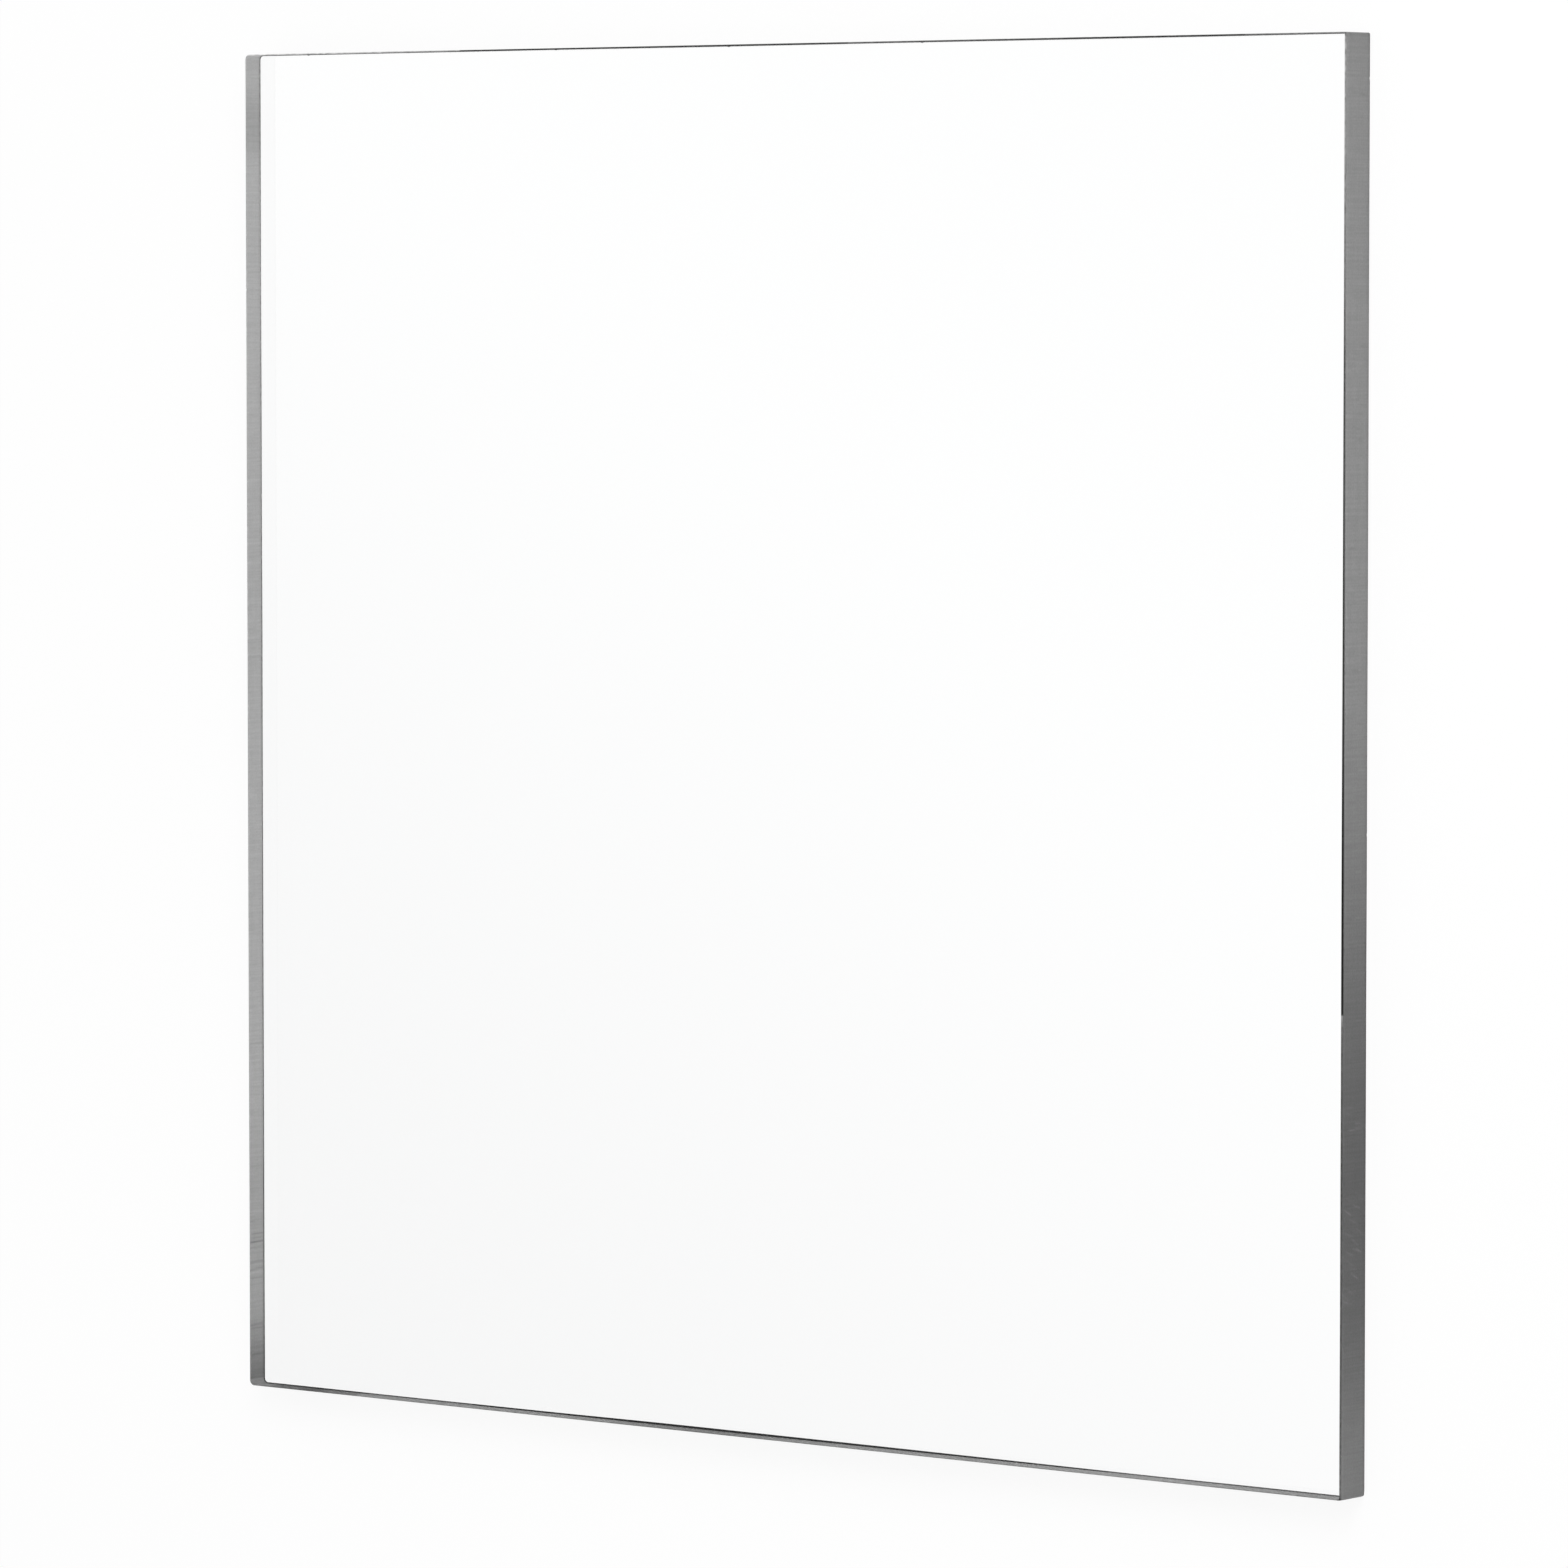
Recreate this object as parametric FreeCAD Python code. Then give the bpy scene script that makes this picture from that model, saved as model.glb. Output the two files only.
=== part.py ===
"""Clear acrylic sheet, cut square from stock sold as three eighths of an inch.

It is one piece. It lies flat, with X along its width, Y along its length and Z through its
thickness. The origin is the middle of the face that it lies on.
"""
import FreeCAD
import Part
import os

# Driving dimensions, in millimetres
SHEET_WIDTH = 304.8  # twelve inches
SHEET_LENGTH = 304.8  # twelve inches
SHEET_THICKNESS = 9.0  # what three eighths stock is cast to
LEFT_CORNER_RADIUS = 1.2  # in plan, the two left corners are eased with a scraper
RIGHT_CORNER_RADIUS = 0.4  # and the two right ones are left almost as sawn
ARRIS_WIDTH = 0.25  # the broken edge between each polished face and the sawn edges

# How closely an edge has to lie in the plane of a face to belong to it
ON_PLANE = 1e-6

# Halfway round a quarter circle, the arc is this share of its radius from both tangent sides
MID_ARC_SHARE = 1 - 0.5**0.5


def point(x, y, z=0.0):
    return FreeCAD.Vector(x, y, z)


def corner(side_x, side_y, radius):
    """The quarter circle in one corner, from its end on the X side to its end on the Y side.

    side_x and side_y are -1 or 1 and say which of the four corners it is.
    """
    edge_x = side_x * SHEET_WIDTH / 2
    edge_y = side_y * SHEET_LENGTH / 2
    on_x_side = point(edge_x, edge_y - side_y * radius)
    on_y_side = point(edge_x - side_x * radius, edge_y)
    in_from_sides = MID_ARC_SHARE * radius
    middle = point(edge_x - side_x * in_from_sides, edge_y - side_y * in_from_sides)
    return Part.Arc(on_x_side, middle, on_y_side).toShape()


def start_of(edge):
    return edge.valueAt(edge.FirstParameter)


def end_of(edge):
    return edge.valueAt(edge.LastParameter)


def outline():
    """The sheet in plan: four straight sides, joined by the quarter circles of the corners."""
    front_left = corner(-1, -1, LEFT_CORNER_RADIUS)
    front_right = corner(1, -1, RIGHT_CORNER_RADIUS)
    back_right = corner(1, 1, RIGHT_CORNER_RADIUS)
    back_left = corner(-1, 1, LEFT_CORNER_RADIUS)
    front = Part.makeLine(end_of(front_left), end_of(front_right))
    right = Part.makeLine(start_of(front_right), start_of(back_right))
    back = Part.makeLine(end_of(back_right), end_of(back_left))
    left = Part.makeLine(start_of(back_left), start_of(front_left))
    return Part.Wire([front_left, front, front_right, right, back_right, back, back_left, left])


def rim_at(solid, height):
    """The edges that run round the face at one height."""
    found = []
    for edge in solid.Edges:
        box = edge.BoundBox
        if abs(box.ZMin - height) < ON_PLANE and abs(box.ZMax - height) < ON_PLANE:
            found.append(edge)
    return found


def acrylic_sheet():
    """The plate, with the arris broken all the way round both faces."""
    blank = Part.Face(outline()).extrude(point(0, 0, SHEET_THICKNESS))
    both_rims = rim_at(blank, 0.0) + rim_at(blank, SHEET_THICKNESS)
    return blank.makeChamfer(ARRIS_WIDTH, both_rims)


def main():
    os.makedirs("parts", exist_ok=True)
    sheet = acrylic_sheet()
    sheet.exportStep("parts/acrylic_sheet.step")
    box = sheet.BoundBox
    size = f"{box.XLength:.1f} x {box.YLength:.1f} x {box.ZLength:.1f} mm"
    print(f"acrylic_sheet: {size}, {len(sheet.Faces)} faces, valid {sheet.isValid()}")
    print(f"volume {sheet.Volume / 1000:.2f} cm3")


main()
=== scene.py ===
# %% [markdown]
# # A clear acrylic sheet
#
# The object is one flat piece of clear acrylic, twelve inches square and nine millimetres
# thick, sawn out of a larger cast sheet. Its two big faces are as smooth as glass, and they
# almost vanish against a white room. What the eye finds is the rim: four satin grey edges
# that the saw left, and a thin dark line wherever an edge meets a face.
#
# The solid already exists at its real size, so the script loads it first and measures it.
# Everything below is worked out from those measures, in metres.

import bmesh
import bpy
import math
import random
from mathutils import Matrix, Vector, noise


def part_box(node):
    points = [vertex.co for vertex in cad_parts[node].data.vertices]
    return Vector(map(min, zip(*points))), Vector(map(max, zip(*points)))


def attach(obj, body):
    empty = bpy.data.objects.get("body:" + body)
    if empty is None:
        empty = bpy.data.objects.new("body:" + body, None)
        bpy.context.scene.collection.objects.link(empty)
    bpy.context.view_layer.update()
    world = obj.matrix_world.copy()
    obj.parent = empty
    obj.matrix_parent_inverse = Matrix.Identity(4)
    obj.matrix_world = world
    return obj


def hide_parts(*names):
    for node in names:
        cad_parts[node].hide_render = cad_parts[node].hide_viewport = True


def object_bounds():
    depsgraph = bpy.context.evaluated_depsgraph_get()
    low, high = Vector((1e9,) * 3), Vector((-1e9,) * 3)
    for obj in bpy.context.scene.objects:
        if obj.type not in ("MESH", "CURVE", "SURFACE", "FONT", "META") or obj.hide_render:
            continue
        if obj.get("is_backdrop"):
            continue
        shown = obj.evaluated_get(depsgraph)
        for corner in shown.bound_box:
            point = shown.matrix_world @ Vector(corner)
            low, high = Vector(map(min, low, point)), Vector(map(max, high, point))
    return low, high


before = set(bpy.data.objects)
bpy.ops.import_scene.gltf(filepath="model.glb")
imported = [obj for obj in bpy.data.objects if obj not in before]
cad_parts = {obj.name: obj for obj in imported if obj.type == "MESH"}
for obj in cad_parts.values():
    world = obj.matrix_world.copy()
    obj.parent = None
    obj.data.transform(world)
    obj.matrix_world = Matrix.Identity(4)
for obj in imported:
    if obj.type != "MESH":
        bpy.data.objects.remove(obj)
solid_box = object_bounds()
low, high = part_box("acrylic_sheet")
WIDTH = high.x - low.x
LENGTH = high.y - low.y
THICKNESS = high.z - low.z
print(f"sheet {WIDTH:.4f} x {LENGTH:.4f} x {THICKNESS:.4f} m")

# %% [markdown]
# # The camera
#
# The sheet lies flat, and the photograph looks at its upper face from above and from the
# right, with the sheet's far side up in the picture. A long lens, well back, keeps the
# opposite sides almost parallel. A camera could be turned by hand until it looks right, but
# a sheet is only four corners, so its place can be worked out from where they land in the
# picture. Here it is written as a place to stand and a point to look at.

# %% Set up the camera
MM = 0.001
CAMERA_PLACE = Vector((1.1838, 0.1029, 1.4921))
CAMERA_AIM = Vector((0.0045, -0.0083, THICKNESS))
LENS_MM = 200.2
PICTURE_UP = Vector((0, 1, 0))


def aim(thing, place, target, up):
    """Puts a camera or lamp at a place, facing a target, with up as its upward side."""
    back = (place - target).normalized()
    right = up.cross(back).normalized()
    turn = Matrix((right, back.cross(right), back)).transposed()
    thing.matrix_world = Matrix.Translation(place) @ turn.to_4x4()


def link(thing):
    """Puts a new object into the scene."""
    bpy.context.scene.collection.objects.link(thing)
    return thing


camera = link(bpy.data.objects.new("camera", bpy.data.cameras.new("camera")))
camera.data.lens = LENS_MM
aim(camera, CAMERA_PLACE, CAMERA_AIM, PICTURE_UP)
bpy.context.scene.camera = camera
print(f"camera {(CAMERA_PLACE - CAMERA_AIM).length:.3f} m from the sheet")

# %% [markdown]
# # Walking round the rim
#
# A cube scaled flat would have the right size and nothing else. The rim carries all the
# detail, so the mesh is made like a ribbon that is wound once round the sheet: stations
# along the outline, and rows across the thickness at each station. The stations stand close
# enough together for the mark of a single saw tooth to be a real groove.
#
# The corners differ. The two on the left were eased with a scraper, and the two on the
# right are nearly as sharp as the saw left them.

# %% Lay out the stations
STATION_PITCH = 0.32 * MM
CORNER_STEPS = 8
LEFT_RADIUS = 1.2 * MM
RIGHT_RADIUS = 0.4 * MM
SIDES = ("front", "right", "back", "left")


class Station:
    """One stop on the walk: its place and outward direction in plan, and the run so far."""

    def __init__(self, place, outward, run):
        self.place = place
        self.outward = outward
        self.run = run


def walk(stations, place, outward):
    """Adds a station, with its distance along the rim from the last one."""
    run = 0.0
    if stations:
        run = stations[-1].run + (place - stations[-1].place).length
    stations.append(Station(place, outward, run))


def walk_side(stations, start, end, outward):
    steps = round((end - start).length / STATION_PITCH)
    for step in range(1, steps):
        walk(stations, start.lerp(end, step / steps), outward)


def walk_corner(stations, centre, radius, first_angle):
    for step in range(CORNER_STEPS + 1):
        angle = first_angle + math.pi / 2 * step / CORNER_STEPS
        outward = Vector((math.cos(angle), math.sin(angle)))
        walk(stations, centre + radius * outward, outward)


def walk_round():
    """The whole rim, anticlockwise from above, and the index where each side starts."""
    corners = (
        (-1, -1, LEFT_RADIUS, math.pi),
        (1, -1, RIGHT_RADIUS, -math.pi / 2),
        (1, 1, RIGHT_RADIUS, 0.0),
        (-1, 1, LEFT_RADIUS, math.pi / 2),
    )
    stations = []
    side_starts = []
    for index, (side_x, side_y, radius, first_angle) in enumerate(corners):
        centre = Vector((side_x * (WIDTH / 2 - radius), side_y * (LENGTH / 2 - radius)))
        walk_corner(stations, centre, radius, first_angle)
        side_starts.append(len(stations) - 1)
        outward = stations[-1].outward
        next_x, next_y, next_radius, _ = corners[(index + 1) % len(corners)]
        next_centre = Vector((
            next_x * (WIDTH / 2 - next_radius),
            next_y * (LENGTH / 2 - next_radius),
        ))
        walk_side(stations, stations[-1].place, next_centre + next_radius * outward, outward)
    return stations, side_starts


stations, side_starts = walk_round()
side_run = {side: stations[start].run for side, start in zip(SIDES, side_starts)}
print(f"{len(stations)} stations, {stations[-1].run:.3f} m round the rim")

# %% [markdown]
# # Across the thickness
#
# From the lower face to the upper one, the rim climbs a narrow bevel, the sawn edge and a
# second bevel. A cutter calls that bevel an arris: the knife-sharp corner is scraped off so
# that it doesn't chip or cut a hand. It is only a quarter of a millimetre wide, yet it is
# the thin dark line that draws the sheet's outline in the photograph. A scraper rocks in the
# hand, so the bevel is a little crowned rather than flat.

# %% Lay out the rows
ARRIS = 0.25 * MM  # the bevel's width and its height
ARRIS_STEPS = 3
ARRIS_CROWN = 0.15
BORDER_ROWS = (0.15 * MM, 0.45 * MM)
EDGE_STEPS = 12
SAWN = 0
BROKEN = 1
POLISHED = 2


class Row:
    """A height, how far it stands in from the outline, and the finish just above it."""

    def __init__(self, height, inset, finish):
        self.height = height
        self.inset = inset
        self.finish = finish


def edge_heights():
    """Heights on the sawn edge: even steps, with two closer rows beside each arris."""
    lower = ARRIS + BORDER_ROWS[-1]
    upper = THICKNESS - ARRIS - BORDER_ROWS[-1]
    even = [lower + (upper - lower) * step / EDGE_STEPS for step in range(EDGE_STEPS + 1)]
    return [ARRIS, ARRIS + BORDER_ROWS[0], *even, THICKNESS - ARRIS - BORDER_ROWS[0]]


def lay_out_rows():
    rows = []
    for step in range(ARRIS_STEPS):
        share = step / ARRIS_STEPS
        crown = ARRIS_CROWN * ARRIS * math.sin(math.pi * share)
        rows.append(Row(share * ARRIS - crown, (1 - share) * ARRIS - crown, BROKEN))
    for height in edge_heights():
        rows.append(Row(height, 0.0, SAWN))
    for step in range(ARRIS_STEPS + 1):
        share = step / ARRIS_STEPS
        crown = ARRIS_CROWN * ARRIS * math.sin(math.pi * share)
        height = THICKNESS - ARRIS + share * ARRIS + crown
        rows.append(Row(height, share * ARRIS - crown, BROKEN))
    return rows


rows = lay_out_rows()
print(f"{len(rows)} rows across {THICKNESS / MM:.1f} mm")

# %% [markdown]
# # What the saw left
#
# The feed of the sheet past the blade leaves long faint lines along the edge. Over most of
# the rim there is little else to see. In a few stretches the sheet trembled, and single
# teeth scored the edge from face to face, on lines that lean and bow a little. A bump map
# could fake them, but the scores are modelled, because then they also show in the outline
# and in the mesh by itself.
#
# Each stretch says on which side it is, how far it runs from that side's start, how many
# scores it has, how much they lean, how much of the thickness they cross and how much
# lighter or darker they are than the skin. The scores are scattered by a seeded generator,
# so the sheet comes out the same every time.

# %% Scatter the scores
SCORE_SEED = 14
SCORE_WIDTH = 0.21 * MM
SCORE_DEPTH = 0.03 * MM
REACH_SPREAD = (0.8, 1.2)  # shares of the stretch's own reach
LEAN_SPREAD = (0.3, 1.5)  # shares of the stretch's own lean
BOW_SPREAD = (1.0, 8.0)  # times the square of the distance from mid-thickness
FARTHEST_END = 0.45  # from mid-thickness, for a short line, as a share of the thickness


class Stretch:
    """Part of one side that trembled past the blade, in millimetres from the side's start."""

    def __init__(self, side, start, end, count, lean, reach, gains):
        self.side = side
        self.start = start
        self.end = end
        self.count = count
        self.lean = lean
        self.reach = reach
        self.gains = gains


class Score:
    """A tooth's groove: where it crosses mid-thickness, its slant, bow, reach and tone."""

    def __init__(self, run, lean, bow, middle, reach, gain):
        self.run = run
        self.lean = lean
        self.bow = bow
        self.middle = middle
        self.reach = reach
        self.gain = gain

    def depth_at(self, run, height):
        """How deep the groove is at a point, from 0 to 1."""
        off_middle = height - THICKNESS / 2
        line = self.run + self.lean * off_middle + self.bow * off_middle * off_middle
        across = (run - line) / SCORE_WIDTH
        along = (height - self.middle) / self.reach
        return math.exp(-across * across) * max(0.0, 1.0 - along**4)


# Reach, as a share of the thickness to each side of a score's middle
FROM_FACE_TO_FACE = 0.6
SHORT = 0.15

# The least and the most that a score's tone gains over the skin's
DARKER = (-0.50, -0.15)
LIGHTER = (0.10, 0.40)
MIXED = (-0.28, 0.18)
FAINT = (-0.14, 0.12)

TREMBLES = (
    Stretch("left", 262, 297, 32, 0.03, FROM_FACE_TO_FACE, MIXED),
    Stretch("left", 106, 118, 3, 0.02, FROM_FACE_TO_FACE, MIXED),
    Stretch("left", 10, 260, 40, 0.03, FROM_FACE_TO_FACE, FAINT),
    Stretch("right", 40, 66, 20, 0.45, SHORT, LIGHTER),
    Stretch("right", 76, 84, 5, 0.05, SHORT, LIGHTER),
    Stretch("right", 120, 146, 14, 0.06, SHORT, FAINT),
    Stretch("right", 150, 300, 36, 0.10, SHORT, FAINT),
    Stretch("front", 4, 28, 18, 1.10, FROM_FACE_TO_FACE, DARKER),
    Stretch("front", 40, 290, 40, 0.20, FROM_FACE_TO_FACE, FAINT),
    Stretch("back", 10, 290, 44, 0.12, FROM_FACE_TO_FACE, FAINT),
)


def scatter_scores():
    chance = random.Random(SCORE_SEED)
    scores = []
    for stretch in TREMBLES:
        for _ in range(stretch.count):
            place = chance.uniform(stretch.start, stretch.end) * MM
            reach = stretch.reach * chance.uniform(*REACH_SPREAD)
            room = max(0.0, FARTHEST_END - reach)
            scores.append(Score(
                side_run[stretch.side] + place,
                stretch.lean * chance.uniform(*LEAN_SPREAD),
                chance.uniform(*BOW_SPREAD),
                THICKNESS * (0.5 + chance.uniform(-room, room)),
                THICKNESS * reach,
                chance.uniform(*stretch.gains),
            ))
    return scores


scores = scatter_scores()
print(f"{len(scores)} tooth scores on {len(TREMBLES)} stretches")

# %% [markdown]
# # How light and shade are painted along the rim
#
# The sawn skin is painted lighter or darker side by side, and over a hand's width at a time,
# as painted light and shade; near the start of the front edge there is also a darker smudge
# on the skin. Two numbers are kept at every point of the rim, for the materials to use: the
# tone of the sawn skin, with its scores and its painted light and shade, and the tone of the
# arris, with its painted shade. Painting them on an image would need the sheet unwrapped; a
# number on each point needs nothing, and follows the mesh exactly.

# %% Tone of the sawn skin
# Each side's skin is painted lighter or darker as a whole: painted light and shade.
SIDE_LIGHT_AND_SHADE = {"front": 0.68, "right": 1.00, "back": 0.90, "left": 1.16}


class Shade:
    """A stretch of skin painted darker, mostly as painted shade: its middle and reach in
    millimetres from the side's start.

    A loss below zero is a stretch painted lighter, as painted light.
    """

    def __init__(self, side, middle, reach, loss):
        self.side = side
        self.middle = middle
        self.reach = reach
        self.loss = loss


# Painted shade and light along the sides; the front's first three are a darker smudge.
SHADES = (
    Shade("right", 62, 132, 0.575),
    Shade("right", 5, 40, -0.22),
    Shade("left", 272, 46, 0.14),
    Shade("left", 308, 28, 0.65),
    Shade("left", 15, 12, 0.20),
    Shade("left", 120, 55, 0.05),
    Shade("front", 7, 9, 0.50),
    Shade("front", 16, 10, 0.78),
    Shade("front", 26, 8, 0.45),
    Shade("front", 130, 45, 0.32),
    Shade("front", 250, 50, -0.14),
)


def bell(offset):
    """A smooth hump: 1 at its middle, and 0 from one reach away."""
    if abs(offset) >= 1:
        return 0.0
    return math.cos(offset * math.pi / 2) ** 2


def side_at(run):
    """The side that a run belongs to, and the millimetres from that side's start.

    The last part of a corner already counts to the side that follows it.
    """
    name = SIDES[0]
    for side in SIDES:
        if run >= side_run[side] - LEFT_RADIUS:
            name = side
    return name, (run - side_run[name]) / MM


def shade_at(run):
    """How light the rim is at one place against the rest of its side: mostly painted shade."""
    side, place = side_at(run)
    level = 1.0
    for shade in SHADES:
        if shade.side == side:
            level *= 1 - shade.loss * bell((place - shade.middle) / shade.reach)
    return level


# The skin's painted light and shade: its side's level times its painted stretches.
def skin_tone_and_painted_shade(run):
    return SIDE_LIGHT_AND_SHADE[side_at(run)[0]] * shade_at(run)


for side in SIDES:
    middle = side_run[side] + WIDTH / 2
    print(f"{side} edge tone {skin_tone_and_painted_shade(middle):.2f}")

# %% [markdown]
# # Width of the arris
#
# A scraper is pushed along by hand, so the bevel swells and narrows by a tenth or so. Where it
# bites, it cuts wider: along the middle of the front edge the lower bevel is well over a third
# of a millimetre wide, which is why the dark line is thickest there. A bevel modifier would cut
# one width all round, so each station gets its own, and the sawn rows are fitted in between.

# %% Width of the arris
ARRIS_WOBBLE = 0.2
WOBBLE_LENGTH = 40 * MM
LOWER_LAYER = 2.0  # the slice of noise that each bevel follows
UPPER_LAYER = 5.0


class Bite:
    """Where the scraper cut wider: middle and reach in millimetres, and the share it gained."""

    def __init__(self, side, upper, middle, reach, gain):
        self.side = side
        self.upper = upper
        self.middle = middle
        self.reach = reach
        self.gain = gain


BITES = (
    Bite("front", False, 142, 100, 0.80),
    Bite("right", True, 120, 60, 0.15),
    Bite("back", True, 80, 30, 0.20),
    Bite("back", True, 212, 30, 0.20),
)


def arris_width(station, upper):
    """How wide the upper or lower bevel is at one station."""
    side, place = side_at(station.run)
    layer = UPPER_LAYER if upper else LOWER_LAYER
    near = station.place / WOBBLE_LENGTH
    width = ARRIS * (1 + ARRIS_WOBBLE * noise.noise((near.x, near.y, layer)))
    for bite in BITES:
        if bite.side == side and bite.upper == upper:
            width *= 1 + bite.gain * bell((place - bite.middle) / bite.reach)
    return width


def fit_between(height, lower, upper):
    """Where a row's height comes to lie between bevels that have these widths."""
    if height <= ARRIS:
        return height * lower / ARRIS
    if height >= THICKNESS - ARRIS:
        return THICKNESS - (THICKNESS - height) * upper / ARRIS
    share = (height - ARRIS) / (THICKNESS - 2 * ARRIS)
    return lower + share * (THICKNESS - lower - upper)


for name, upper in (("lower", False), ("upper", True)):
    widths = [arris_width(station, upper) / MM for station in stations]
    print(f"{name} arris {min(widths):.2f} to {max(widths):.2f} mm wide")

# %% [markdown]
# # Tone of the arris
#
# The scraper leaves a dull bevel, no darker than the edge itself, where it chattered, and a
# clear one where it cut clean. A clear bevel shows the dark inside of the edge, and that dark
# is painted into its tone as painted shade, almost black. So the arris is written down as
# stretches too, each with a tone at its start and at its end.
#
# Beside the arris the sawn skin changes over less than a millimetre. Where the arris is dark,
# a painted shade line darkens the skin for the width of a hair, and past that the skin is
# painted a little lighter along the upper border and a little darker along the lower one, as
# painted light and shade.

# %% Tone of the arris
PLAIN_ARRIS = 0.10
DARK_ARRIS_TONE = 0.12
# A painted shade line beside a dark arris, then painted light above and painted shade below
SHADE_LINE_REACH = 0.36 * MM
SHADE_LINE_LOSS = 0.92
STRIP_REACH = 0.45 * MM
UPPER_PAINTED_LIGHT = 0.12
LOWER_PAINTED_SHADE = 0.10


class Scrape:
    """A stretch of the upper or lower arris, with its tones at both ends; dark ones are painted
    shade.
    """

    def __init__(self, side, upper, start, end, first, last):
        self.side = side
        self.upper = upper
        self.start = start
        self.end = end
        self.first = first
        self.last = last


# Tones near zero paint the dark that a clear bevel shows into its colour, as painted shade.
SCRAPES = (
    Scrape("right", True, -2, 97, 0.14, 0.16),
    Scrape("right", True, 97, 101, 0.22, 0.36),
    Scrape("right", True, 101, 145, 0.004, 0.01),
    Scrape("right", True, 145, 235, 0.01, 0.06),
    Scrape("right", True, 235, 306, 0.06, 0.30),
    Scrape("front", False, 62, 240, 0.01, 0.03),
    Scrape("front", True, -2, 306, 0.26, 0.26),
    Scrape("back", True, -2, 25, 0.18, 0.10),
    Scrape("back", True, 25, 72, 0.02, 0.02),
    Scrape("back", True, 72, 130, 0.05, 0.10),
    Scrape("back", True, 130, 190, 0.03, 0.03),
    Scrape("back", True, 190, 240, 0.02, 0.02),
    Scrape("back", True, 240, 306, 0.25, 0.60),
    Scrape("left", False, -2, 306, 0.34, 0.18),
    Scrape("left", True, -2, 306, 0.24, 0.12),
)


def arris_tone_and_painted_shade(run, upper):
    """How light the upper or lower bevel is at one place, its painted shade included."""
    side, place = side_at(run)
    for scrape in SCRAPES:
        if scrape.side == side and scrape.upper == upper and scrape.start <= place < scrape.end:
            share = (place - scrape.start) / (scrape.end - scrape.start)
            return scrape.first + share * (scrape.last - scrape.first)
    return PLAIN_ARRIS


def border_factor(run, height):
    """How much painted light and shade the sawn skin has beside an arris, against further in."""
    upper = height > THICKNESS / 2
    gap = THICKNESS - ARRIS - height if upper else height - ARRIS
    strip = bell((gap - STRIP_REACH) / STRIP_REACH)
    factor = 1 + (UPPER_PAINTED_LIGHT if upper else -LOWER_PAINTED_SHADE) * strip
    # Where the arris is dark, a painted shade line lies beside it
    dark_arris = max(0.0, 1 - arris_tone_and_painted_shade(run, upper) / DARK_ARRIS_TONE)
    return factor * (1 - SHADE_LINE_LOSS * dark_arris * bell(gap / SHADE_LINE_REACH))


print(f"{len(SCRAPES)} stretches of arris")

# %% [markdown]
# # Feed lines and nicks
#
# The long feed lines are shallower than the scores, a hundredth of a millimetre at most. A
# sheet that has been handled also has a few nicks on its arris, the largest at the corners,
# where it was set down. The photograph shows most of the bevels clean, so the seed is one
# that drops its nicks on the others.

# %% Depth of the rim's surface
FEED_DEPTH = 0.010 * MM
FEED_WIDTH = 1.8 * MM
FEED_LENGTH = 60 * MM
FEED_LAYER = 3.0  # the slice of noise that the feed lines follow
NICK_SEED = 809
NICK_DEPTH = 0.12 * MM
NICK_LOSS = 0.55
NICK_RADII = (0.30, 0.55)  # in millimetres
NICKS_ON_SIDES = 10

# The side that a corner leads to, the nick's height, its way back from there and its radius
NICKS_AT_CORNERS = (
    ("right", THICKNESS, 0.2 * MM, 0.8 * MM),
    ("right", 0.0, 0.2 * MM, 1.2 * MM),
    ("back", THICKNESS, 0.3 * MM, 0.5 * MM),
)


class Nick:
    """A small dent: where it is along the rim, its height and its radius."""

    def __init__(self, run, height, radius):
        self.run = run
        self.height = height
        self.radius = radius

    def depth_at(self, run, height):
        """How deep the dent is at a point, from 0 to 1."""
        return bell(math.hypot(run - self.run, height - self.height) / self.radius)


def scatter_nicks():
    chance = random.Random(NICK_SEED)
    nicks = []
    for side, height, way_back, radius in NICKS_AT_CORNERS:
        nicks.append(Nick(side_run[side] - way_back, height, radius))
    for _ in range(NICKS_ON_SIDES):
        run = chance.uniform(0, stations[-1].run)
        height = chance.choice((0.0, THICKNESS))
        nicks.append(Nick(run, height, chance.uniform(*NICK_RADII) * MM))
    return nicks


def feed_lines(run, height):
    """How deep the feed lines are at a point."""
    wave = noise.noise((run / FEED_LENGTH, height / FEED_WIDTH, FEED_LAYER))
    return FEED_DEPTH * (0.5 + 0.5 * wave)


nicks = scatter_nicks()
print(f"{len(nicks)} nicks, feed lines {FEED_DEPTH / MM:.3f} mm deep")

# %% [markdown]
# # Building the sheet
#
# The ribbon's rows and stations become quads. Each face is closed by a net of large quads,
# with one many-sided polygon for each piece of border, so that the fine rim meets the coarse
# face without stray triangles. The polygons of the rim are shaded smooth, and the lines where
# a finish changes are marked sharp, so that the faces stay dead flat up to the arris.
#
# Each point also remembers how far it lies along the rim and across it. The materials use
# that to lay their grain along the edge on all four sides, which plain coordinates could not
# do.

# %% Make the rim
SCORE_REACH = 12 * MM  # along the rim, the farthest that a leaning score can stray
NICK_REACH = 2 * MM


def near_to(run, things, reach):
    """The scores or nicks that could touch this station."""
    return [thing for thing in things if abs(thing.run - run) < reach]


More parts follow.
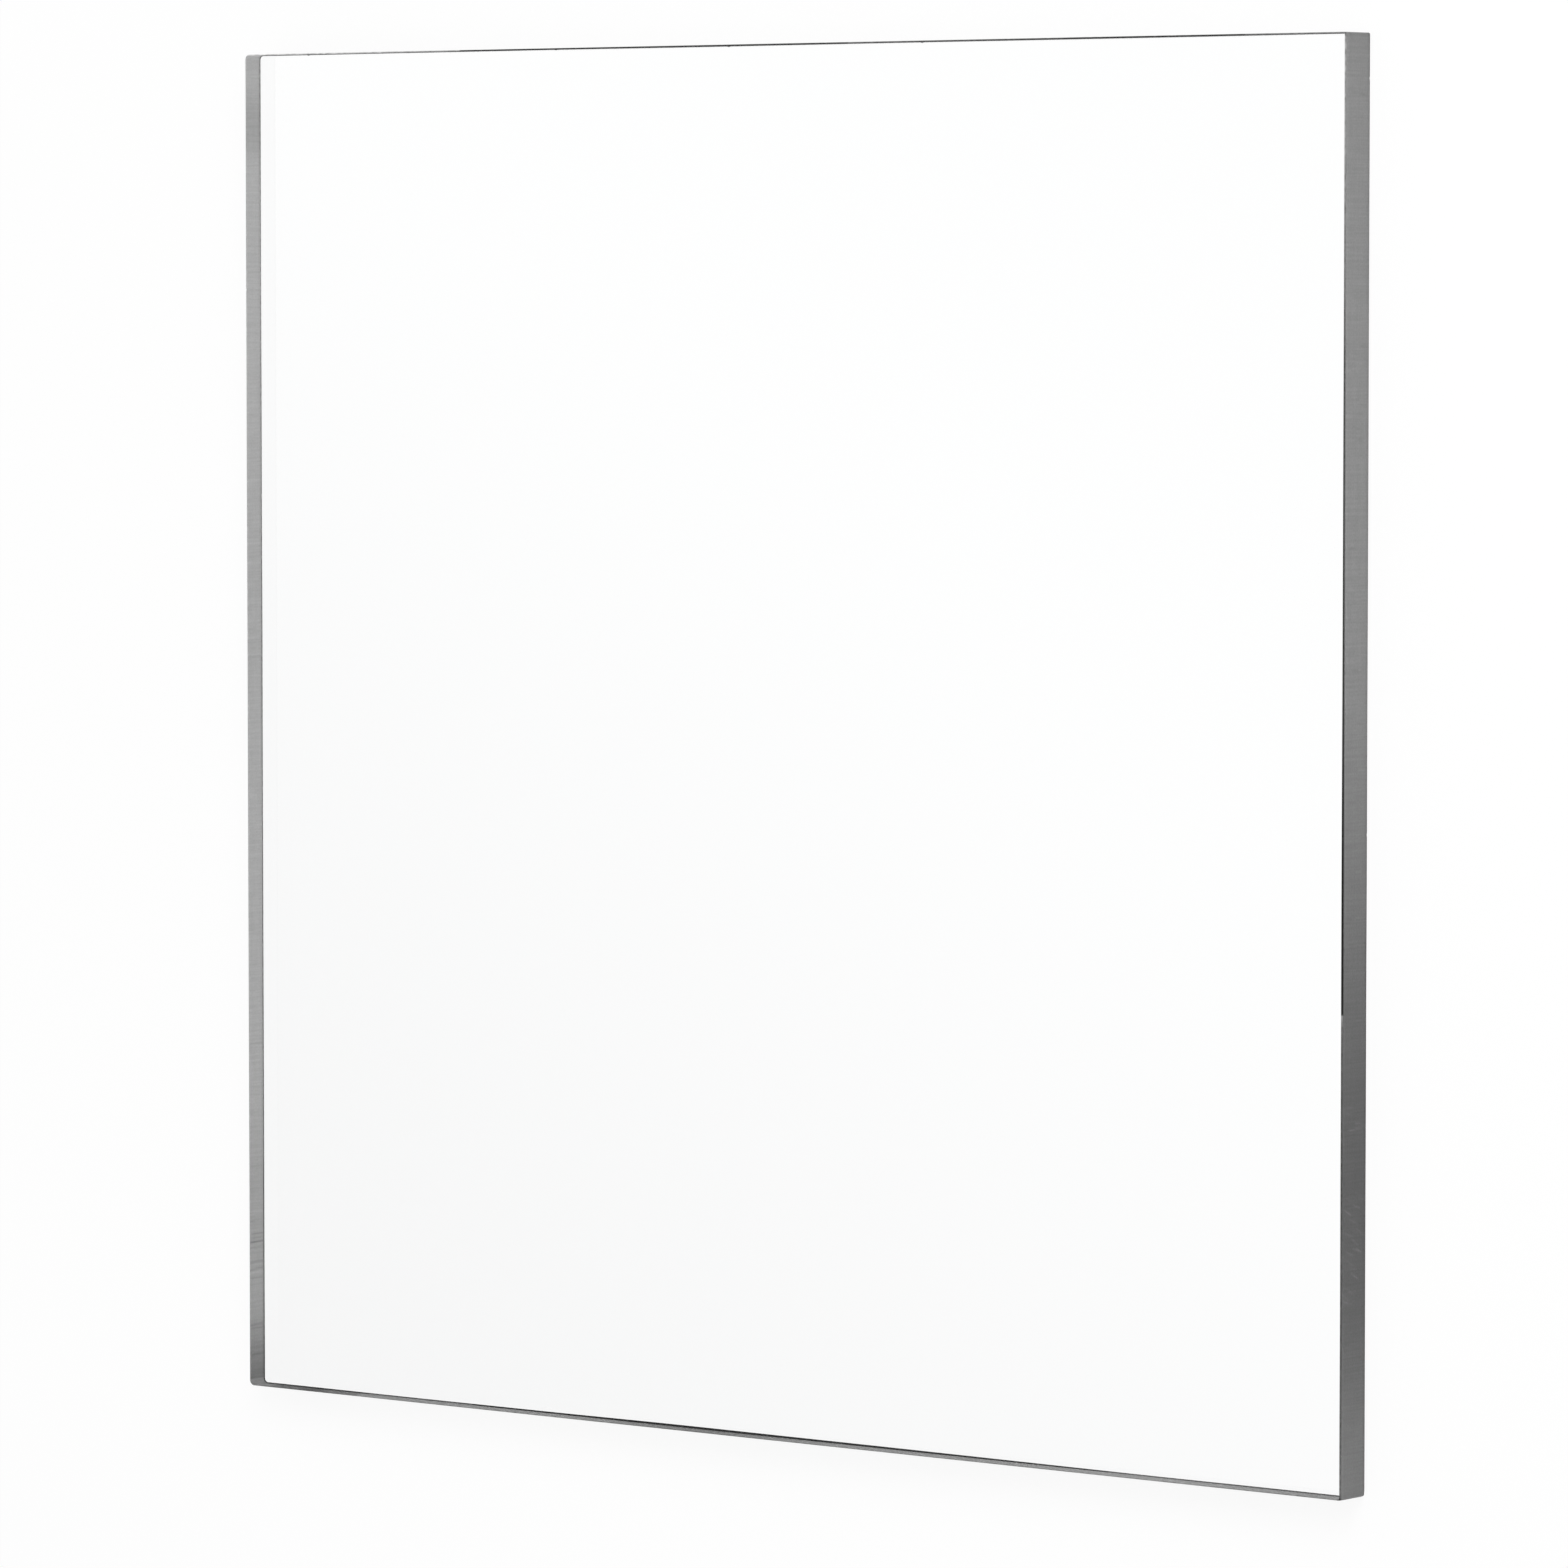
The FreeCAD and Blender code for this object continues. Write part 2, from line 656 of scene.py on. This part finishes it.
def make_rim(mesh):
    """Adds the rim's points, one ring for each row, with what the materials read from them."""
    grain = mesh.verts.layers.float_vector.new("grain")
    skin = mesh.verts.layers.float.new("skin_tone_and_painted_shade")
    arris = mesh.verts.layers.float.new("arris_tone_and_painted_shade")
    rings = [[] for _ in rows]
    for station in stations:
        run = station.run
        close_scores = near_to(run, scores, SCORE_REACH)
        close_nicks = near_to(run, nicks, NICK_REACH)
        # Painted light and shade at this station, for the skin and for the arris
        tone = skin_tone_and_painted_shade(run)
        shade = shade_at(run)
        lower = arris_width(station, False)
        upper = arris_width(station, True)
        for row, ring in zip(rows, rings):
            in_upper_half = row.height > THICKNESS / 2
            height = fit_between(row.height, lower, upper)
            inset = row.inset * (upper if in_upper_half else lower) / ARRIS
            cuts = [(s.depth_at(run, height), s.gain) for s in close_scores]
            score = min(1.0, sum(cut for cut, _ in cuts))
            scored = max(0.0, 1 + sum(cut * gain for cut, gain in cuts))
            nick = min(1.0, sum(n.depth_at(run, height) for n in close_nicks))
            # What the saw left fades out across the bevel, and a nick doesn't
            left_by_saw = 1 - row.inset / ARRIS
            saw_marks = feed_lines(run, height) + SCORE_DEPTH * score
            depth = left_by_saw * saw_marks + NICK_DEPTH * nick
            place = station.place - (inset + depth) * station.outward
            vert = mesh.verts.new((place.x, place.y, height))
            vert[grain] = Vector((run, height, 0))
            unhurt = 1 - NICK_LOSS * nick
            # The skin: painted light and shade, scores, painted line and nicks; the arris: painted
            # shade too
            vert[skin] = tone * scored * border_factor(run, row.height) * unhurt
            vert[arris] = arris_tone_and_painted_shade(run, in_upper_half) * shade * unhurt
            ring.append(vert)
    return rings


sheet_mesh = bmesh.new()
rings = make_rim(sheet_mesh)
print(f"{len(sheet_mesh.verts)} points on the rim")

# %% Close the rim and the faces
FACE_CELLS = 24
FACE_BORDER = 12 * MM


def add_polygon(mesh, verts, finish):
    polygon = mesh.faces.new(verts)
    polygon.material_index = finish
    polygon.smooth = finish != POLISHED


def close_rim(mesh, rings):
    """Joins each ring to the one above it with quads."""
    for row, lower, upper in zip(rows, rings, rings[1:]):
        for index in range(len(stations)):
            after = (index + 1) % len(stations)
            quad = (lower[index], lower[after], upper[after], upper[index])
            add_polygon(mesh, quad, row.finish)


def make_net(mesh, height):
    """A square net of points on one face, held in from its border."""
    half_x = WIDTH / 2 - FACE_BORDER
    half_y = LENGTH / 2 - FACE_BORDER
    net = []
    for line in range(FACE_CELLS + 1):
        y = half_y * (2 * line / FACE_CELLS - 1)
        along = [half_x * (2 * step / FACE_CELLS - 1) for step in range(FACE_CELLS + 1)]
        net.append([mesh.verts.new((x, y, height)) for x in along])
    return net


def net_border(net):
    """The net's outermost points, one list for each side, in the order of the walk."""
    front = net[0]
    right = [line[-1] for line in net]
    back = list(reversed(net[-1]))
    left = [line[0] for line in reversed(net)]
    return front, right, back, left


def close_face(mesh, ring, height, upper):
    """Fills one face: the net's own quads, and a border that joins the net to the rim."""
    net = make_net(mesh, height)

    def add(verts):
        add_polygon(mesh, verts if upper else list(reversed(verts)), POLISHED)

    for line, next_line in zip(net, net[1:]):
        for step in range(FACE_CELLS):
            add([line[step], line[step + 1], next_line[step + 1], next_line[step]])
    for side, inner in enumerate(net_border(net)):
        first = side_starts[side]
        next_corner = side_starts[(side + 1) % len(SIDES)] - CORNER_STEPS
        steps = (next_corner - first) % len(ring)
        knots = [first + round(steps * part / FACE_CELLS) for part in range(FACE_CELLS + 1)]
        for part in range(FACE_CELLS):
            outer = [ring[i % len(ring)] for i in range(knots[part], knots[part + 1] + 1)]
            add(outer + [inner[part + 1], inner[part]])
        corner = [ring[i % len(ring)] for i in range(first - CORNER_STEPS, first + 1)]
        add(corner + [inner[0]])


close_rim(sheet_mesh, rings)
close_face(sheet_mesh, rings[0], 0.0, False)
close_face(sheet_mesh, rings[-1], THICKNESS, True)
print(f"{len(sheet_mesh.faces)} polygons")

# %% [markdown]
# # Handing the sheet over
#
# The mesh now takes the solid's place: the solid is hidden, and the mesh is attached to the
# body that it moves with. A line that fewer or more than two polygons share would be a hole or
# a flap, so those are counted, and there should be none.

# %% Hand the sheet over


def finish_mesh(mesh, name):
    """Marks the lines between finishes as sharp, and turns the net of points into a mesh."""
    for edge in mesh.edges:
        finishes = {polygon.material_index for polygon in edge.link_faces}
        edge.smooth = len(finishes) == 1
    made = bpy.data.meshes.new(name)
    mesh.to_mesh(made)
    mesh.free()
    return made


open_edges = sum(1 for edge in sheet_mesh.edges if len(edge.link_faces) != 2)
sheet = link(bpy.data.objects.new("clear_sheet", finish_mesh(sheet_mesh, "clear_sheet")))
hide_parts("acrylic_sheet")
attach(sheet, "root")
print(f"{open_edges} open edges, {len(sheet.data.vertices)} points")

# %% [markdown]
# # Node helpers
#
# A material is a small network of nodes, and so is the world behind the sheet. These helpers
# add a node and join two sockets, so that each finish below reads as a short list of steps.

# %% Small helpers for nodes


class Recipe:
    """The node tree of a material or world, and the few moves that fill it."""

    def __init__(self, owner, output):
        self.owner = owner
        owner.use_nodes = True
        self.nodes = owner.node_tree.nodes
        self.links = owner.node_tree.links
        self.nodes.clear()
        self.output = self.nodes.new(output)

    def node(self, kind, **values):
        """Adds a node and sets its sockets; a socket that is given as a value is joined."""
        made = self.nodes.new(kind)
        for name, value in values.items():
            self.give(made.inputs[name.replace("_", " ")], value)
        return made

    def give(self, socket, value):
        if isinstance(value, bpy.types.NodeSocket):
            self.links.new(value, socket)
        else:
            socket.default_value = value

    def math(self, operation, first, second):
        made = self.nodes.new("ShaderNodeMath")
        made.operation = operation
        self.give(made.inputs[0], first)
        self.give(made.inputs[1], second)
        return made.outputs["Value"]

    def attribute(self, name):
        made = self.nodes.new("ShaderNodeAttribute")
        made.attribute_name = name
        return made

    def spread(self, value, low, high, to_low, to_high):
        """Maps the range from low to high onto another one, and stops at its ends."""
        made = self.node("ShaderNodeMapRange", Value=value, From_Min=low, From_Max=high)
        self.give(made.inputs["To Min"], to_low)
        self.give(made.inputs["To Max"], to_high)
        return made.outputs["Result"]

    def stretched_noise(self, vector, size, detail):
        """Noise whose blots have the given size in metres along each axis."""
        scale = tuple(1 / length for length in size)
        scaled = self.nodes.new("ShaderNodeVectorMath")
        scaled.operation = "MULTIPLY"
        self.give(scaled.inputs[0], vector)
        self.give(scaled.inputs[1], scale)
        made = self.node("ShaderNodeTexNoise", Vector=scaled.outputs["Vector"], Scale=1.0)
        made.inputs["Detail"].default_value = detail
        return made.outputs["Fac"]

    def mix(self, share, first, second):
        made = self.nodes.new("ShaderNodeMixShader")
        self.give(made.inputs["Fac"], share)
        self.give(made.inputs[1], first)
        self.give(made.inputs[2], second)
        return made.outputs["Shader"]

    def show(self, shader):
        self.links.new(shader, self.output.inputs["Surface"])
        return self.owner


def new_material(name):
    return Recipe(bpy.data.materials.new(name), "ShaderNodeOutputMaterial")


def grey(level):
    return (level, level, level, 1.0)


print("helpers ready")

# %% [markdown]
# # The polished faces
#
# Cast acrylic bends light with an index of 1.49 and loses only a percent or two on the way
# through. It is cast between two plates of glass, so the faces are bright, yet never quite
# flat: they wave by a few thousandths of a millimetre over the width of a finger. Wiping
# leaves hairlines that are too fine to see straight on and only soften a reflection. A glass
# shader alone would be perfect and look made up, so the wave goes into its bump and the
# hairlines into its roughness.

# %% Clear acrylic
ACRYLIC_IOR = 1.49
CLEAR_TINT = (0.992, 0.995, 0.995, 1)
WAVE_SIZE = 38 * MM
WAVE_HEIGHT = 0.006 * MM
HAIRLINE_LENGTH = 22 * MM
HAIRLINE_WIDTH = 0.22 * MM
HAIRLINE_ANGLE = math.radians(34)
HAIRLINE_RISE = (0.66, 0.8)  # only the peaks of the noise, above the first, make hairlines
HAIRLINE_ROUGHNESS = 0.035


def clear_acrylic():
    recipe = new_material("polished_face")
    place = recipe.nodes.new("ShaderNodeTexCoord").outputs["Object"]
    wave = recipe.stretched_noise(place, (WAVE_SIZE, WAVE_SIZE, WAVE_SIZE), detail=1.0)
    bump = recipe.node("ShaderNodeBump", Height=wave, Strength=1.0, Distance=WAVE_HEIGHT)
    turned = recipe.node("ShaderNodeVectorRotate", Vector=place, Angle=HAIRLINE_ANGLE)
    hairline_size = (HAIRLINE_LENGTH, HAIRLINE_WIDTH, HAIRLINE_LENGTH)
    hairline = recipe.stretched_noise(turned.outputs["Vector"], hairline_size, detail=1.0)
    shader = recipe.node(
        "ShaderNodeBsdfPrincipled",
        Base_Color=CLEAR_TINT,
        Roughness=recipe.spread(hairline, *HAIRLINE_RISE, 0.0, HAIRLINE_ROUGHNESS),
        IOR=ACRYLIC_IOR,
        Transmission_Weight=1.0,
        Normal=bump.outputs["Normal"],
    )
    return recipe.show(shader.outputs["BSDF"])


print(f"clear acrylic, index {ACRYLIC_IOR}")

# %% [markdown]
# # The sawn edges
#
# A sawn edge is a satin skin on clear stuff. Part of the light scatters back off it, and part
# of it scatters through, so the same edge is mid grey from outside and lighter from inside,
# through the sheet. A glass shader with a high roughness would do it, but it is slow to clear
# of noise and hard to bring to a given grey. Half matte and half translucent gives both greys
# directly.
#
# The skin is never quite even. Feed lines run along it as faint streaks, the teeth left
# finer lines across it, it is mottled like ground glass, and it has a fine grit. All of them
# are quiet: in the photograph the edge varies by no more than a few levels of grey.

# %% Sawn edge
SKIN_BACK = 0.20
SKIN_THROUGH = 0.60
# The size of each pattern's blots: along the rim, across it, and a third that nothing uses
STREAK_SIZE = (9 * MM, 0.55 * MM, 1.0)
TOOTH_SIZE = (0.45 * MM, 14 * MM, 1.0)
MOTTLE_SIZE = (3.5 * MM, 2.2 * MM, 1.0)
GRIT_SIZE = (0.5 * MM, 0.3 * MM, 1.0)
STREAK_SHARE = 0.03
TOOTH_SHARE = 0.06
MOTTLE_SHARE = 0.03
GRIT_SHARE = 0.09
GRIT_HEIGHT = 0.010 * MM
SKIN_ROUGHNESS = (0.42, 0.58)
THROUGH_SHARE = 0.5
NOISE_SPAN = (0.3, 0.7)  # nearly all of the noise lies in here


def around_one(recipe, value, share):
    """Turns noise into a factor that swings evenly around 1."""
    return recipe.spread(value, *NOISE_SPAN, 1 - share, 1 + share)


def sawn_edge():
    recipe = new_material("sawn_edge")
    grain = recipe.attribute("grain").outputs["Vector"]
    # The skin's tone, with its painted light and shade, read from the points
    tone = recipe.attribute("skin_tone_and_painted_shade").outputs["Fac"]
    streak = recipe.stretched_noise(grain, STREAK_SIZE, detail=2.0)
    tooth = recipe.stretched_noise(grain, TOOTH_SIZE, detail=2.0)
    mottle = recipe.stretched_noise(grain, MOTTLE_SIZE, detail=3.0)
    grit = recipe.stretched_noise(grain, GRIT_SIZE, detail=2.0)
    patterns = (
        (streak, STREAK_SHARE),
        (tooth, TOOTH_SHARE),
        (mottle, MOTTLE_SHARE),
        (grit, GRIT_SHARE),
    )
    level = tone
    for pattern, share in patterns:
        level = recipe.math("MULTIPLY", level, around_one(recipe, pattern, share))
    height = recipe.math("ADD", recipe.math("ADD", grit, streak), tooth)
    bump = recipe.node("ShaderNodeBump", Height=height, Strength=1.0, Distance=GRIT_HEIGHT)
    skin = recipe.node(
        "ShaderNodeBsdfPrincipled",
        Base_Color=recipe.math("MULTIPLY", level, SKIN_BACK),
        Roughness=recipe.spread(mottle, *NOISE_SPAN, *SKIN_ROUGHNESS),
        IOR=ACRYLIC_IOR,
        Normal=bump.outputs["Normal"],
    )
    glow = recipe.node(
        "ShaderNodeBsdfTranslucent",
        Color=recipe.math("MULTIPLY", level, SKIN_THROUGH),
        Normal=bump.outputs["Normal"],
    )
    both = recipe.mix(THROUGH_SHARE, skin.outputs["BSDF"], glow.outputs["BSDF"])
    return recipe.show(both)


print(f"sawn edge sends back {SKIN_BACK:.2f} and lets through {SKIN_THROUGH:.2f}")

# %% [markdown]
# # The arris
#
# Its tone, with its painted shade, is already on the points. What the material adds is the
# scraper's fine chatter, as short dashes across the bevel. A clean bevel is clear, so it
# mirrors little and shows the dark inside of the edge; that dark is painted into its tone, and
# its reflection is set low, or the white room would turn it grey.

# %% Broken arris
CHATTER_SIZE = (1.1 * MM, 2.0 * MM, 1.0)
CHATTER_SHARE = 0.30
ARRIS_ROUGHNESS = (0.28, 0.45)
ARRIS_MIRROR = 0.15


def broken_arris():
    recipe = new_material("broken_arris")
    grain = recipe.attribute("grain").outputs["Vector"]
    # The arris's tone, with the painted shade of a clear bevel, read from the points
    tone = recipe.attribute("arris_tone_and_painted_shade").outputs["Fac"]
    chatter = recipe.stretched_noise(grain, CHATTER_SIZE, detail=2.0)
    bump = recipe.node("ShaderNodeBump", Height=chatter, Strength=1.0, Distance=GRIT_HEIGHT)
    surface = recipe.node(
        "ShaderNodeBsdfPrincipled",
        Base_Color=recipe.math("MULTIPLY", tone, around_one(recipe, chatter, CHATTER_SHARE)),
        Roughness=recipe.spread(chatter, *NOISE_SPAN, *ARRIS_ROUGHNESS),
        IOR=ACRYLIC_IOR,
        Specular_IOR_Level=ARRIS_MIRROR,
        Normal=bump.outputs["Normal"],
    )
    return recipe.show(surface.outputs["BSDF"])


for material in (sawn_edge(), broken_arris(), clear_acrylic()):
    sheet.data.materials.append(material)
print(f"materials {[material.name for material in sheet.data.materials]}")

# %% [markdown]
# # The floor
#
# The photograph's sheet floats on pure white, and a white floor takes its place. A matte
# floor under soft light renders pale grey, and turning up the lamps until it clips would
# bleach the sheet. So the camera sees it mostly as plain white, with a small share of the
# matte floor left in, which keeps a faint shadow. Rays that reflect off the sheet or pass
# through it find plain white too. The floor lies a hair below the sheet, because two surfaces
# at the same height would flicker through each other.

# %% Floor
FLOOR_SIZE = 6.0
FLOOR_GAP = 0.2 * MM
FLOOR_GREY = 0.9
FLOOR_WHITE_SHARE = 0.90


def floor_white():
    recipe = new_material("pale_floor")
    matte = recipe.node("ShaderNodeBsdfDiffuse", Color=grey(FLOOR_GREY))
    white = recipe.node("ShaderNodeEmission", Color=grey(1.0), Strength=1.0)
    path = recipe.nodes.new("ShaderNodeLightPath").outputs
    seen = recipe.math("MULTIPLY", path["Is Camera Ray"], FLOOR_WHITE_SHARE)
    through = recipe.math("MAXIMUM", path["Is Glossy Ray"], path["Is Transmission Ray"])
    share = recipe.math("MAXIMUM", seen, through)
    return recipe.show(recipe.mix(share, matte.outputs["BSDF"], white.outputs["Emission"]))


def make_floor():
    mesh = bmesh.new()
    bmesh.ops.create_grid(mesh, x_segments=1, y_segments=1, size=FLOOR_SIZE / 2)
    made = bpy.data.meshes.new("floor")
    mesh.to_mesh(made)
    mesh.free()
    return made


floor = link(bpy.data.objects.new("floor", make_floor()))
floor.location.z = -FLOOR_GAP
floor.data.materials.append(floor_white())
floor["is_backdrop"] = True
print(f"floor {FLOOR_SIZE:.0f} m across, {FLOOR_GAP / MM:.1f} mm below the sheet")

# %% [markdown]
# # Light
#
# A white room gives most of the light, and one large soft lamp at the far right adds the
# rest. Together they light a level surface at a strength of about one, so that a colour
# renders about as it is written.
#
# The big face is nearly invisible, but not quite: in the photograph it darkens by a few
# levels towards the near left corner. That is a reflection. The white room ends there, and
# the sheet mirrors a twelfth of what lies beyond. So rays that come off something shiny see a
# dark corner in the room, low on the left, with a soft border.

# %% World
AMBIENT = 0.67
WHITE = 1.0
DARK_CORNER = Vector((-0.767, -0.4226, 0.4831)).normalized()
CORNER_OUTSIDE = 0.857
CORNER_INSIDE = 0.935
CORNER_LEVEL = 0.05


def make_world():
    recipe = Recipe(bpy.data.worlds.new("white_room"), "ShaderNodeOutputWorld")
    path = recipe.nodes.new("ShaderNodeLightPath").outputs
    towards = recipe.nodes.new("ShaderNodeVectorMath")
    towards.operation = "DOT_PRODUCT"
    recipe.give(towards.inputs[0], recipe.nodes.new("ShaderNodeTexCoord").outputs["Generated"])
    recipe.give(towards.inputs[1], DARK_CORNER)
    border = (CORNER_OUTSIDE, CORNER_INSIDE)
    corner = recipe.spread(towards.outputs["Value"], *border, WHITE, CORNER_LEVEL)
    corner.node.interpolation_type = "SMOOTHSTEP"
    off_sheet = recipe.math("MAXIMUM", path["Is Glossy Ray"], path["Is Transmission Ray"])
    seen = recipe.math("MAXIMUM", path["Is Camera Ray"], recipe.math("MULTIPLY", off_sheet, corner))
    sharp = recipe.math("MAXIMUM", path["Is Camera Ray"], off_sheet)
    level = recipe.math("ADD", seen, recipe.spread(sharp, 0, 1, AMBIENT, 0.0))
    background = recipe.node("ShaderNodeBackground", Color=grey(1.0), Strength=level)
    return recipe.show(background.outputs["Background"])


bpy.context.scene.world = make_world()
print(f"room light {AMBIENT}, seen as {WHITE}")

# %% Lamp
LAMP_PLACE = Vector((0.75, 0.85, 1.1))
LAMP_TARGET = Vector((0, 0, 0))
LAMP_SIZE = 0.9
LAMP_WATTS = 15.5


def make_lamp():
    data = bpy.data.lights.new("softbox", "AREA")
    data.shape = "SQUARE"
    data.size = LAMP_SIZE
    data.energy = LAMP_WATTS
    lamp = link(bpy.data.objects.new("softbox", data))
    aim(lamp, LAMP_PLACE, LAMP_TARGET, PICTURE_UP)
    return lamp


lamp = make_lamp()
print(f"{lamp.name} of {LAMP_WATTS} W, {LAMP_PLACE.length:.2f} m away")

# %% [markdown]
# # How the picture is finished
#
# The plain Standard view keeps white white. Light that enters the sheet is thrown back and
# forth between its faces many times before it leaves by an edge, so it is allowed more
# bounces than usual.

# %% View and bounces
scene = bpy.context.scene
scene.view_settings.view_transform = "Standard"
scene.cycles.max_bounces = 24
scene.cycles.glossy_bounces = 16
scene.cycles.transmission_bounces = 20
print(f"up to {scene.cycles.max_bounces} bounces")

# %% [markdown]
# # The size of the sheet
#
# The visible sheet has to be as large as the solid that it stands for. Both boxes' sizes are
# printed side by side.

# %% Finish
made_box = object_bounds()
for name, (least, most) in (("solid", solid_box), ("made", made_box)):
    size = " x ".join(f"{(end - start) / MM:.3f}" for start, end in zip(least, most))
    print(f"{name} {size} mm")
